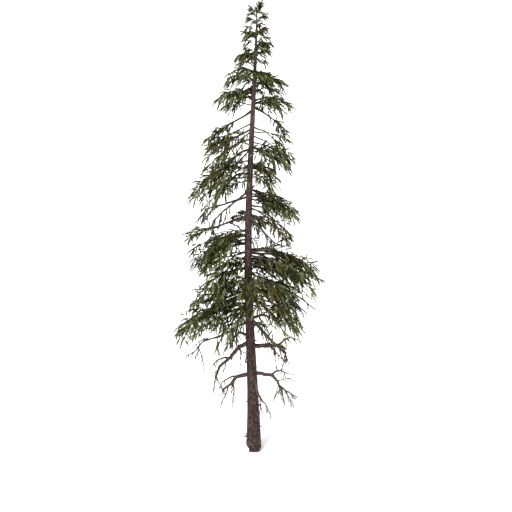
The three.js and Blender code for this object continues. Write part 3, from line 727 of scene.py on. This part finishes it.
def trunk_piece(material):
    """The trunk with the relief of its bark, which its points also keep for the colour."""
    rise = np.linspace(0, 1, TRUNK_RINGS + 1)
    heights = TRUNK_HEIGHT * rise ** RING_CROWDING
    turns = np.arange(TRUNK_SIDES) / TRUNK_SIDES
    turn_grid, height_grid = np.meshgrid(turns, heights)
    relief = bark_relief(turn_grid, height_grid)
    angles = turn_grid * 2 * math.pi
    lobe = 1 + LOBE_DEPTH * np.cos(ROOT_LOBES * (angles + math.pi / 2)) * np.exp(-height_grid / LOBE_FADE)
    radius = trunk_radius(height_grid) * (lobe + BARK_RELIEF * (relief - MIDDLE_RELIEF))
    points = trunk_axis(height_grid)
    points[..., 0] += radius * np.cos(angles)
    points[..., 1] += radius * np.sin(angles)
    points = points.reshape(-1, 3)
    for chip in CHIPS:
        split_off(points, chip)
    ring = np.arange(TRUNK_SIDES)
    following = (ring + 1) % TRUNK_SIDES
    rows = np.arange(TRUNK_RINGS)[:, None] * TRUNK_SIDES
    quads = np.stack((rows + ring, rows + following, rows + TRUNK_SIDES + following,
                      rows + TRUNK_SIDES + ring), axis=-1).reshape(-1, 4)
    middles = np.stack((trunk_axis(0.0), trunk_axis(TRUNK_HEIGHT)))
    foot = len(points)
    top = TRUNK_RINGS * TRUNK_SIDES
    foot_cap = np.stack((np.full(TRUNK_SIDES, foot), following, ring), axis=-1)
    top_cap = np.stack((np.full(TRUNK_SIDES, foot + 1), top + ring, top + following), axis=-1)
    pile = Pile()
    pile.add(np.concatenate((points, middles)), quads, np.concatenate((foot_cap, top_cap)))
    piece = mesh_piece("trunk_bark", pile, material, ["trunk"])
    # The colour follows the relief: darker in the furrows, partly the bark's own colour and partly painted
    # shade, and lighter towards the top.
    shade = piece.data.attributes.new("relief", "FLOAT", "POINT")
    tone = relief + UPPER_BARK_LIGHT * (height_grid / TRUNK_HEIGHT) ** UPPER_BARK_POWER
    cap_tones = (MIDDLE_RELIEF, MIDDLE_RELIEF)
    shade.data.foreach_set("value", np.append(tone.ravel(), cap_tones).astype(np.float32))


# Boughs
def rough_radii(radii, sides, rng):
    """A radius for each step and side of a limb, with the roughness of its bark."""
    return radii[:, None] * (1 + BOUGH_ROUGHNESS * (rng.random((len(radii), sides)) - 0.5))


class Bough:
    """The line of a live bough: out from the trunk's axis, bending from its rise to its drop, with crooks."""

    def __init__(self, row, radius_per_reach, rng):
        height, azimuth, self.reach, self.rise, self.drop, self.bare = row
        self.foot_radius = LIVE_RADIUS + radius_per_reach * self.reach
        self.root = trunk_axis(height)
        self.out = turned(RIGHT, azimuth)
        self.across = np.cross(UP, self.out)
        self.crooks = rng.normal(0, LIVE_CROOK, (2, CROOK_KNOTS))
        self.crooks[:, 0] = 0

    def at(self, shares):
        shares = np.asarray(shares, dtype=float)
        knots = np.linspace(0, 1, CROOK_KNOTS)
        climb = self.rise * shares + (self.drop - self.rise) * shares ** SAG_POWER
        climb = climb + np.interp(shares, knots, self.crooks[0])
        aside = np.interp(shares, knots, self.crooks[1])
        line = shares[..., None] * self.out + climb[..., None] * UP + aside[..., None] * self.across
        return self.root + self.reach * line

    def heading(self, share):
        return unit(self.at(share + BOUGH_HEADING_STEP) - self.at(share - BOUGH_HEADING_STEP))

    def draw(self, pile, end, rng):
        shares = np.linspace(0, end, BOUGH_STEPS)
        radii = self.foot_radius + (LIVE_TIP_RADIUS - self.foot_radius) * shares
        tube(pile, self.at(shares), rough_radii(radii, BOUGH_SIDES, rng), BOUGH_SIDES)


class CrookedLimb:
    """A dead limb in stretches, each given by how far it goes out and up. Places count in stretches."""

    def __init__(self, start, azimuth, stretches, rng):
        out = turned(RIGHT, azimuth)
        joints = [start]
        for away, up in stretches:
            joints.append(joints[-1] + away * out + up * UP)
        joints = np.array(joints)
        self.count = len(stretches)
        self.places = np.linspace(0, self.count, self.count * STRETCH_STEPS + 1)
        numbers = np.arange(len(joints))
        path = np.stack([np.interp(self.places, numbers, column) for column in joints.T], axis=-1)
        path[1:-1] = (path[:-2] + 2 * path[1:-1] + path[2:]) / 4
        path[1:-1] += rng.normal(0, DEAD_CROOK, (len(path) - 2, 3))
        self.path = path

    def at(self, place):
        return np.array([np.interp(place, self.places, column) for column in self.path.T])

    def heading(self, place):
        return unit(self.at(place + LIMB_HEADING_STEP) - self.at(place - LIMB_HEADING_STEP))

    def draw(self, pile, foot_radius, tip_radius, sides, rng):
        radii = np.linspace(foot_radius, tip_radius, len(self.path))
        tube(pile, self.path, rough_radii(radii, sides, rng), sides)


class Shoots:
    """Every shoot of needles: where it starts, where it heads, its length, sag, roll and tone."""

    def __init__(self):
        self.rows = []

    def add(self, start, heading, length, sag, roll, tone):
        self.rows.append((*start, *unit(heading), length, sag, roll, tone))

    def table(self):
        return np.array(self.rows)


def tone_of(rng, outer, place):
    """Outer shoots are lighter as a painted highlight and inner ones darker as painted shade, on top of
    chance, and shoots near an olive spot are often olive.
    """
    olive = OLIVE_SHARE
    for spot, radius in OLIVE_SPOTS:
        if np.linalg.norm(place - spot) < radius:
            olive = OLIVE_SPOT_SHARE
    if rng.random() < olive:
        return TONES.index("olive")
    level = (1 - OUTER_WEIGHT) * rng.random() + OUTER_WEIGHT * outer
    if level < DARK_LEVEL:
        return TONES.index("dark")
    return TONES.index("mid") if level < MID_LEVEL else TONES.index("light")


def grow_shoots(shoots, line, length, hang, rng, size, outer):
    """Shoots to both sides of a twig, in turn, and one at its tip."""
    count = max(1, int(length / (SHOOT_SPACING * size)))
    roll = rng.uniform(-FAN_ROLL, FAN_ROLL)
    for k in range(count):
        share = (k + rng.uniform(*SHOOT_JITTER)) / count
        place = line(share)
        ahead = unit(line(share + LINE_STEP) - place)
        level = unit(np.cross(ahead, UP))
        aside = math.cos(roll) * level + math.sin(roll) * np.cross(level, ahead)
        angle = math.radians(side_of(k) * SHOOT_ANGLE * rng.uniform(*ANGLE_SPREAD))
        heading = math.cos(angle) * ahead + math.sin(angle) * aside + rng.normal(0, SHOOT_WOBBLE, 3)
        heading = unit(heading - hang * rng.uniform(*SHOOT_DROOP) * UP)
        reach = SHOOT_LENGTH * size * rng.uniform(*SHOOT_LENGTHS)
        shoot_roll = rng.uniform(-SHOOT_ROLL, SHOOT_ROLL)
        shoots.add(place, heading, reach, SHOOT_SAG * hang, shoot_roll, tone_of(rng, outer, place))
    tip = line(1.0)
    ahead = unit(tip - line(1 - TIP_STEP))
    shoot_roll = rng.uniform(-SHOOT_ROLL, SHOOT_ROLL)
    shoots.add(tip, ahead, SHOOT_LENGTH * size, SHOOT_SAG * hang, shoot_roll, tone_of(rng, outer, tip))


def sagging_line(start, heading, length, sag):
    """A twig's line, as a function of the share of its length."""
    def line(share):
        return start + heading * length * share - UP * sag * length * share ** 2
    return line


def top_rows():
    """The rows of the short boughs round the top, each turned by the golden angle from the last."""
    for k in range(TOP_BOUGHS):
        share = k / (TOP_BOUGHS - 1)
        yield (np.interp(share, (0, 1), TOP_HEIGHTS), TOP_TURN + GOLDEN_ANGLE * k,
               np.interp(share, (0, 1), TOP_REACHES), TOP_RISE, np.interp(share, (0, 1), TOP_DROPS), TOP_BARE)


def companions(row, rng):
    """The rows of the thinner boughs beside a live bough, to both sides in turn."""
    height, azimuth, reach, rise, drop, bare = row
    if bare >= COMPANION_LEAST_BARE:
        return
    for k in range(COMPANIONS):
        yield (height + reach * rng.uniform(-COMPANION_HEIGHT, COMPANION_HEIGHT),
               azimuth + side_of(k) * rng.uniform(*COMPANION_AZIMUTH),
               reach * rng.uniform(*COMPANION_REACH),
               rise + COMPANION_SLOPE * rng.normal(),
               drop + COMPANION_SLOPE * rng.normal(),
               COMPANION_BARE_SHARE * bare)


def grow_live(row, radius_per_reach, rng, wood, twigs, shoots):
    """A bough, twigs to both sides of it in turn, and shoots on both."""
    bough = Bough(row, radius_per_reach, rng)
    bare = bough.bare
    leafy = bough.reach * (1 - bare)
    hang = HANG_LEVEL + HANG_PER_DROP * bough.drop + HANG_PER_RISE * max(bough.rise, 0)
    size = np.clip(SIZE_LEVEL + SIZE_PER_LEAFY * leafy, *SIZE_LIMITS)
    end = 1 - BOUGH_END * SHOOT_LENGTH * size / bough.reach
    bough.draw(wood, end, rng)
    steps = np.linspace(0, 1, LATERAL_STEPS)
    radii = LATERAL_RADIUS * (1 - LATERAL_TAPER * steps)
    count = max(LEAST_LATERALS, int(leafy / (LATERAL_SPACING * size)))
    for k in range(count):
        run = (k + rng.uniform(*LATERAL_JITTER)) / count
        share = bare + (end - bare) * run
        inner = min(1.0, LATERAL_INNER + LATERAL_GAIN * run)
        length = LATERAL_SHARE * leafy * (1 - LATERAL_FADE * run) * inner * rng.uniform(*LATERAL_LENGTHS)
        heading = turned(bough.heading(share), side_of(k) * LATERAL_ANGLE * rng.uniform(*ANGLE_SPREAD))
        heading = unit(heading + UP * rng.normal(LATERAL_RISE, LATERAL_LIFT))
        line = sagging_line(bough.at(share), heading, length, LATERAL_SAG * hang)
        tube(twigs, np.array([line(step) for step in steps]), radii, LATERAL_SIDES)
        grow_shoots(shoots, line, length, hang, rng, size, run)

    def axis(share):
        return bough.at(bare + (end - bare) * share)
    grow_shoots(shoots, axis, leafy, hang, rng, size, AXIS_OUTER)


def grow_leader(rng, twigs, shoots):
    """The shoot on the trunk's tip, which leans right, with others round it."""
    foot = trunk_axis(TRUNK_HEIGHT)
    heading = unit(np.array(LEADER_HEADING))
    line = sagging_line(foot, heading, LEADER_LENGTH, sag=0.0)
    steps = np.linspace(0, 1, LEADER_STEPS)
    radii = TRUNK_TIP_RADIUS * (1 - LEADER_TAPER * steps)
    tube(twigs, np.array([line(step) for step in steps]), radii, LEADER_SIDES)
    shoots.add(line(1.0), heading, LEADER_TIP_LENGTH, sag=0.0, roll=0.0, tone=TONES.index("light"))
    for k in range(LEADER_SHOOTS):
        out = turned(RIGHT, GOLDEN_ANGLE * k) + heading * rng.uniform(*LEADER_AHEAD)
        length = LEADER_SHOOT_LENGTH * rng.uniform(*LEADER_SHOOT_LENGTHS)
        tone = TONES.index("dark" if k % LEADER_MID_EVERY else "mid")
        shoots.add(line(LEADER_SPACING * k), out, length, LEADER_SAG, roll=0.0, tone=tone)


def crooked_path(start, heading, length, rng, steps, wobble, sag):
    """The line of a bare twig, which turns a little at each step."""
    path = [start]
    for _ in range(steps):
        heading = unit(heading + wobble * rng.normal(size=3) - sag * UP / steps)
        path.append(path[-1] + heading * length / steps)
    return np.array(path)


def grow_bare(pile, start, heading, length, radius, sag, rng, depth):
    """A crooked bare twig, plain at depth 0 and at depth 1 with plain twiglets to both sides in turn."""
    steps = DEAD_TWIG_STEPS[depth]
    path = crooked_path(start, heading, length, rng, steps, DEAD_TWIG_WOBBLE, sag)
    taper = np.linspace(1, DEAD_TWIG_TAPER, steps + 1)
    radii = np.maximum(radius * taper, DEAD_TWIG_LEAST_RADIUS)
    tube(pile, path, radii, DEAD_TWIG_SIDES[depth])
    if depth == 0:
        return
    for k in range(1, steps):
        ahead = unit(path[k + 1] - path[k])
        aside = turned(ahead, side_of(k) * rng.uniform(*TWIGLET_ANGLES))
        aside = unit(aside + UP * rng.uniform(*TWIGLET_TILTS))
        reach = length * (TWIGLET_SHARE - TWIGLET_FADE * k) * rng.uniform(*TWIGLET_LENGTHS)
        twiglet_radius = TWIGLET_RADIUS_SHARE * radius * taper[k]
        grow_bare(pile, path[k], aside, reach, twiglet_radius, TWIGLET_SAG, rng, depth - 1)


def grow_limb_twigs(pile, limb, count, length, radius, depth, rng):
    """Crooked bare twigs to both sides of a dead limb, in turn, past its first third."""
    for k in range(count):
        run = (k + rng.uniform(*DEAD_TWIG_JITTER)) / count
        place = limb.count * (DEAD_TWIG_START + DEAD_TWIG_RUN * run)
        heading = turned(limb.heading(place), side_of(k) * rng.uniform(*DEAD_TWIG_ANGLES))
        heading = unit(heading + UP * rng.uniform(*DEAD_TWIG_TILTS))
        reach = length * rng.uniform(*DEAD_TWIG_LENGTHS)
        grow_bare(pile, limb.at(place), heading, reach, radius, DEAD_TWIG_SAG, rng, depth)


def grow_dead(bough, rng, wood, twigs):
    """A dead bough with its forks and their bare twigs."""
    limb = CrookedLimb(trunk_axis(bough["height"]), bough["azimuth"], bough["stretches"], rng)
    tip_share = bough.get("tip", DEAD_TIP_SHARE)
    limb.draw(wood, bough["radius"], tip_share * bough["radius"], BOUGH_SIDES, rng)
    grow_limb_twigs(twigs, limb, bough["twigs"], DEAD_TWIG_LENGTH, DEAD_TWIG_RADIUS, 1, rng)
    twig_length = FORK_TWIG_SHARE * DEAD_TWIG_LENGTH
    for place, azimuth, radius, stretches in bough.get("forks", ()):
        fork = CrookedLimb(limb.at(place), azimuth, stretches, rng)
        tip_radius = FORK_TIP_SHARE * radius
        fork.draw(twigs, radius, tip_radius, FORK_SIDES, rng)
        grow_limb_twigs(twigs, fork, FORK_TWIGS, twig_length, FORK_TWIG_SHARE * radius, 0, rng)
        tip = fork.at(fork.count)
        heading = unit(tip - fork.at(fork.count - FORK_TAIL_STEP))
        grow_bare(twigs, tip, heading, FORK_TAIL_LENGTH, tip_radius, DEAD_TWIG_SAG, rng, 0)


def grow_stubs(pile, rng):
    """Short snapped-off boughs on the bare trunk."""
    for k in range(STUB_COUNT):
        height = rng.uniform(*STUB_HEIGHTS)
        out = turned(RIGHT, GOLDEN_ANGLE * k)
        start = trunk_axis(height) + STUB_SEAT * trunk_radius(height) * out
        length = (1 - STUB_SEAT) * trunk_radius(height) + rng.uniform(*STUB_LENGTHS)
        heading = unit(out + UP * rng.uniform(*STUB_TILTS))
        path = crooked_path(start, heading, length, rng, len(STUB_PROFILE) - 1, STUB_WOBBLE, sag=0.0)
        tube(pile, path, rng.uniform(*STUB_RADII) * np.array(STUB_PROFILE), STUB_SIDES)


def within_reach(table):
    """The shoots whose tips keep to the solids' box, give or take the margin."""
    tips = table[:, START] + table[:, HEADING] * table[:, LENGTH, None]
    low, high = np.array(cad_box)
    kept = np.all((tips > low - REACH_MARGIN) & (tips < high + REACH_MARGIN), axis=1)
    return table[kept]


def needles(table, rng):
    """Needles along shoots, as one kite each, in the order of the shoots."""
    length = table[:, LENGTH]
    counts = np.maximum(LEAST_NEEDLES, (NEEDLE_ROWS * length / NEEDLE_SPACING).astype(int))
    owner = np.repeat(np.arange(len(table)), counts)
    order = np.arange(len(owner)) - np.repeat(np.cumsum(counts) - counts, counts)
    share = (order + rng.random(len(owner))) / counts[owner]
    side = np.where(order % NEEDLE_ROWS, 1.0, -1.0)[:, None]
    reach = length[owner][:, None]
    sag = table[owner, SAG][:, None]
    run = share[:, None]
    ahead = table[owner, HEADING]
    base = table[owner, START] + ahead * reach * run - UP * sag * reach * run ** 2
    tangent = unit(ahead - 2 * sag * run * UP)
    level = unit(np.cross(tangent, UP) + TINY * RIGHT)
    normal = np.cross(level, tangent)
    roll = table[owner, ROLL][:, None]
    across = np.cos(roll) * level + np.sin(roll) * normal
    normal = np.cross(across, tangent)
    keel = rng.random(run.shape) < NEEDLE_KEEL
    fan = NEEDLE_FAN * rng.normal(size=run.shape) + np.where(keel, math.pi / 2, 0)
    aside = side * (np.cos(fan) * across + np.sin(fan) * normal)
    opening = NEEDLE_ANGLE * (NEEDLE_OPEN - NEEDLE_CLOSING * run)
    spread = np.radians(opening + NEEDLE_ANGLE_WOBBLE * rng.normal(size=run.shape))
    out = np.cos(spread) * tangent + np.sin(spread) * aside
    outline = OUTLINE_LEAST + OUTLINE_SWELL * np.sin(math.pi * (OUTLINE_START + OUTLINE_RUN * run))
    chance = rng.uniform(*NEEDLE_LENGTHS, size=run.shape)
    size = NEEDLE_LENGTH * outline * chance * (reach / SHOOT_LENGTH) ** NEEDLE_LENGTH_POWER
    twist = NEEDLE_TWIST * rng.normal(size=run.shape)
    flat = np.cross(tangent, aside)
    flat = np.cos(twist) * flat + np.sin(twist) * aside
    width = unit(np.cross(flat, out)) * NEEDLE_WIDTH / 2
    middle = base + out * size * NEEDLE_WIDEST
    return np.stack((base, middle + width, base + out * size, middle - width), axis=1)


# Materials
def node_material(name, roughness, specular):
    material = bpy.data.materials.new(name)
    material.use_nodes = True
    shader = material.node_tree.nodes["Principled BSDF"]
    shader.inputs["Roughness"].default_value = roughness
    shader.inputs["Specular IOR Level"].default_value = specular
    return material, material.node_tree.nodes, material.node_tree.links, shader


def color_ramp(nodes, links, value, stops, shader):
    """Colours the shader by a value, between stops that each have a place and a colour."""
    ramp = nodes.new("ShaderNodeValToRGB")
    elements = ramp.color_ramp.elements
    for element, (place, color) in zip(elements, (stops[0], stops[-1])):
        element.position = place
        element.color = (*color, 1)
    for place, color in stops[1:-1]:
        elements.new(place).color = (*color, 1)
    links.new(value, ramp.inputs["Fac"])
    links.new(ramp.outputs["Color"], shader.inputs["Base Color"])


def noise_node(nodes, links, scale, detail, stretch=(1, 1, 1)):
    place = nodes.new("ShaderNodeTexCoord")
    mapping = nodes.new("ShaderNodeMapping")
    mapping.inputs["Scale"].default_value = stretch
    noise = nodes.new("ShaderNodeTexNoise")
    noise.inputs["Scale"].default_value = scale
    noise.inputs["Detail"].default_value = detail
    links.new(place.outputs["Object"], mapping.inputs["Vector"])
    links.new(mapping.outputs["Vector"], noise.inputs["Vector"])
    return noise


def bump_node(nodes, links, height, shader, strength, distance):
    bump = nodes.new("ShaderNodeBump")
    bump.inputs["Strength"].default_value = strength
    bump.inputs["Distance"].default_value = distance
    links.new(height, bump.inputs["Height"])
    links.new(bump.outputs["Normal"], shader.inputs["Normal"])


def trunk_material():
    """Dark furrows between brown plates, partly the bark's own colour and partly painted shade, greyer and
    lighter where the noise says.
    """
    material, nodes, links, shader = node_material("trunk bark", roughness=0.9, specular=0.15)
    relief = nodes.new("ShaderNodeAttribute")
    relief.attribute_name = "relief"
    grain = noise_node(nodes, links, scale=26.0, detail=6.0, stretch=(1, 1, 0.22))
    add = nodes.new("ShaderNodeMath")
    add.operation = "MULTIPLY_ADD"
    add.inputs[1].default_value = GRAIN_WEIGHT
    links.new(grain.outputs["Fac"], add.inputs[0])
    links.new(relief.outputs["Fac"], add.inputs[2])
    color_ramp(nodes, links, add.outputs["Value"], TRUNK_COLORS, shader)
    bump_node(nodes, links, grain.outputs["Fac"], shader, strength=0.6, distance=0.01)
    return material


def wood_material(name):
    """Bark of boughs and twigs, lighter and darker in small patches."""
    material, nodes, links, shader = node_material(name, roughness=0.88, specular=0.15)
    grain = noise_node(nodes, links, scale=14.0, detail=5.0)
    stops = list(zip(WOOD_PLACES, WOOD_COLORS[name]))
    color_ramp(nodes, links, grain.outputs["Fac"], stops, shader)
    bump_node(nodes, links, grain.outputs["Fac"], shader, strength=0.5, distance=0.004)
    return material


def needle_material(tone):
    """Needles of one tone, lighter and darker by sprays."""
    material, nodes, links, shader = node_material(f"{tone} needles", roughness=0.75, specular=0.06)
    patches = noise_node(nodes, links, scale=9.0, detail=2.0)
    stops = list(zip(NEEDLE_PLACES, NEEDLE_COLORS[tone]))
    color_ramp(nodes, links, patches.outputs["Fac"], stops, shader)
    return material


# The whole scene
def solids_named(start):
    return [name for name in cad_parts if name.startswith(start)]


def build_tree():
    trunk_piece(trunk_material())

    live_wood = Pile()
    twigs = Pile()
    shoots = Shoots()
    for number, row in enumerate(LIVE_BOUGHS):
        rng = np.random.default_rng((LIVE_SEED, number))
        grow_live(row, LIVE_RADIUS_PER_REACH, rng, live_wood, twigs, shoots)
        for thin_row in companions(row, rng):
            grow_live(thin_row, THIN_RADIUS_PER_REACH, rng, live_wood, twigs, shoots)
    for number, row in enumerate((*top_rows(), *FILLING_BOUGHS)):
        rng = np.random.default_rng((FILLING_SEED, number))
        grow_live(row, THIN_RADIUS_PER_REACH, rng, live_wood, twigs, shoots)
    grow_leader(np.random.default_rng(LEADER_SEED), twigs, shoots)

    dead_wood = Pile()
    bare_twigs = Pile()
    for number, bough in enumerate(DEAD_BOUGHS.values()):
        grow_dead(bough, np.random.default_rng(DEAD_SEED + number), dead_wood, bare_twigs)
    grow_stubs(dead_wood, np.random.default_rng(STUB_SEED))

    table = within_reach(shoots.table())
    radii = SHOOT_RADIUS * np.array(SHOOT_PROFILE)
    for shoot in table:
        line = sagging_line(shoot[START], shoot[HEADING], shoot[LENGTH], shoot[SAG])
        tube(twigs, np.array([line(place) for place in SHOOT_PLACES]), radii, SHOOT_SIDES)

    foliage = solids_named("foliage_")
    bark = wood_material("bough bark")
    dead_bark = wood_material("dead bark")
    twig_bark = wood_material("twig bark")
    mesh_piece("bough_bark", live_wood, bark, solids_named("bough_"))
    mesh_piece("dead_bough_bark", dead_wood, dead_bark, solids_named("dead_bough_"))
    mesh_piece("dead_bare_twigs", bare_twigs, dead_bark, solids_named("dead_twigs_"))
    mesh_piece("leafy_twigs", twigs, twig_bark, foliage)

    for index, tone in enumerate(TONES):
        material = needle_material(tone)
        kites = needles(table[table[:, TONE] == index], np.random.default_rng((NEEDLE_SEED, index)))
        parts = math.ceil(len(kites) / NEEDLES_PER_PIECE)
        for number, share in enumerate(np.array_split(kites, parts), start=1):
            pile = Pile()
            pile.add(share.reshape(-1, 3), np.arange(4 * len(share)).reshape(-1, 4))
            mesh_piece(f"needles_{tone}_{number}", pile, material, foliage, smooth=False)


def build_stage():
    bpy.ops.mesh.primitive_plane_add(size=FLOOR_SIZE)
    floor = bpy.context.object
    floor.name = "floor"
    material, _, _, shader = node_material("floor", roughness=0.9, specular=0.1)
    shader.inputs["Base Color"].default_value = (*FLOOR_COLOR, 1)
    floor.data.materials.append(material)

    world = bpy.data.worlds.new("studio")
    world.use_nodes = True
    background = world.node_tree.nodes["Background"]
    background.inputs["Color"].default_value = (*WORLD_COLOR, 1)
    background.inputs["Strength"].default_value = WORLD_STRENGTH
    bpy.context.scene.world = world

    light = bpy.data.lights.new("sun", "SUN")
    light.energy = SUN_STRENGTH
    light.angle = SUN_ANGLE
    sun = bpy.data.objects.new("sun", light)
    sun.rotation_euler = Vector(SUN_DIRECTION).to_track_quat("-Z", "Y").to_euler()
    bpy.context.scene.collection.objects.link(sun)


def build_camera():
    data = bpy.data.cameras.new("camera")
    data.angle = CAMERA_ANGLE
    data.clip_end = 2 * FLOOR_SIZE
    camera = bpy.data.objects.new("camera", data)
    target = Vector(CAMERA_TARGET)
    back = Vector((0, -math.cos(CAMERA_ELEVATION), math.sin(CAMERA_ELEVATION)))
    camera.location = target + CAMERA_DISTANCE * back
    camera.rotation_euler = (-back).to_track_quat("-Z", "Y").to_euler()
    bpy.context.scene.collection.objects.link(camera)
    bpy.context.scene.camera = camera


build_camera()
build_stage()
build_tree()
bpy.context.scene.view_settings.view_transform = "Standard"
